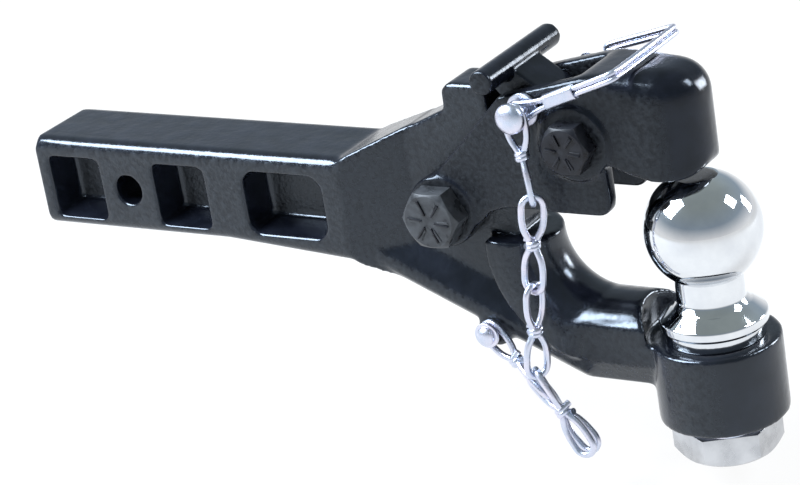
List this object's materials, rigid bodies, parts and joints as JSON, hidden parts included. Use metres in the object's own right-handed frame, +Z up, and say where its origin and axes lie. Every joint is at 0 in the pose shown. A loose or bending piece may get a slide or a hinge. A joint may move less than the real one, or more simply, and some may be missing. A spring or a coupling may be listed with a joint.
{
  "type": "pintle hook",
  "caption": "Combination ball and pintle hook on a square receiver shank, with a swinging latch, lock lever, chained safety pin and wire bail.",
  "frame": {"origin": "middle of the hitch-pin hole, midway between the shank's sides", "axes": "+X forward along the shank towards the ball, +Y to the nut side along the hitch pin, +Z up"},
  "size_m": [0.4244, 0.0955, 0.2118],
  "materials": {
    "cast_black": "gloss",
    "bolt_black": "satin",
    "chrome_plate": "polished",
    "zinc_plate": "satin",
    "spring_steel": "satin"
  },
  "bodies": {
    "hook_body": {"hook_body": "cast_black", "pivot_bush": "spring_steel", "tow_ball": "chrome_plate", "ball_lock_washer": "zinc_plate", "ball_nut": "chrome_plate", "chain_rivet": "zinc_plate"},
    "latch": {"latch": "cast_black", "pivot_bolt": "bolt_black", "pivot_washer": "bolt_black", "pivot_nut": "bolt_black", "lock_bolt": "bolt_black", "lock_washer": "bolt_black", "lock_nut": "bolt_black"},
    "lock_lever": {"lock_lever": "cast_black", "lock_spring": "spring_steel"},
    "safety_pin": {"safety_pin": "zinc_plate"},
    "pin_bail": {"pin_bail": "zinc_plate", "bail_sleeve": "zinc_plate"},
    "chain_link_1": {"chain_link_1": "zinc_plate"},
    "chain_link_2": {"chain_link_2": "zinc_plate"},
    "chain_link_3": {"chain_link_3": "zinc_plate"},
    "chain_link_4": {"chain_link_4": "zinc_plate"},
    "chain_tail": {"chain_link_5": "zinc_plate", "chain_link_6": "zinc_plate"}
  },
  "joints": [
    {"name": "latch_swing", "type": "hinge", "parent": "hook_body", "child": "latch", "pos_m": [0.199, 0, 0.003], "axis": [0, -1, 0], "range_deg": [0, 60]},
    {"name": "lever_lift", "type": "hinge", "parent": "latch", "child": "lock_lever", "pos_m": [0.2805, 0, 0.0445], "axis": [0, 1, 0], "range_deg": [0, 18], "stiffness_Nm_per_rad": 0.5, "springref_deg": -28.65},
    {"name": "pin_draw", "type": "slide", "parent": "latch", "child": "safety_pin", "axis": [0, -1, 0], "range_m": [0, 0.05]},
    {"name": "bail_swing", "type": "hinge", "parent": "safety_pin", "child": "pin_bail", "pos_m": [0.2555, -0.02978, 0.061], "axis": [0.9317, 0, 0.3634], "range_deg": [0, 20]},
    {"name": "link_1_swing", "type": "hinge", "parent": "safety_pin", "child": "chain_link_1", "pos_m": [0.2555, -0.0348, 0.061], "axis": [0, -1, 0], "range_deg": [-15.6, 0]},
    {"name": "link_2_swing", "type": "hinge", "parent": "chain_link_1", "child": "chain_link_2", "pos_m": [0.26031, -0.0366, 0.01885], "axis": [1, 0, 0], "range_deg": [0, 12.1]},
    {"name": "link_3_swing", "type": "hinge", "parent": "chain_link_2", "child": "chain_link_3", "pos_m": [0.2559, -0.0396, -0.02694], "axis": [1, 0, 0], "range_deg": [0, 12.1]},
    {"name": "link_4_swing", "type": "hinge", "parent": "chain_link_3", "child": "chain_link_4", "pos_m": [0.25149, -0.041, -0.07272], "axis": [0.18, -0.9781, 0.104], "range_deg": [-42.2, 0]},
    {"name": "tail_swing", "type": "hinge", "parent": "hook_body", "child": "chain_tail", "pos_m": [0.217, -0.0248, -0.0615], "axis": [-0.0809, -0.9925, -0.0911], "range_deg": [0, 48.2]}
  ],
  "couplings": [
    {"joint": "bail_swing", "follows": "pin_draw", "rad_per_m": 6.9812},
    {"joint": "link_1_swing", "follows": "latch_swing", "ratio": -0.2583},
    {"joint": "link_2_swing", "follows": "pin_draw", "rad_per_m": 4.1888},
    {"joint": "link_3_swing", "follows": "pin_draw", "rad_per_m": 4.1888},
    {"joint": "link_4_swing", "follows": "latch_swing", "ratio": -0.7017},
    {"joint": "tail_swing", "follows": "latch_swing", "ratio": 0.8017}
  ]
}
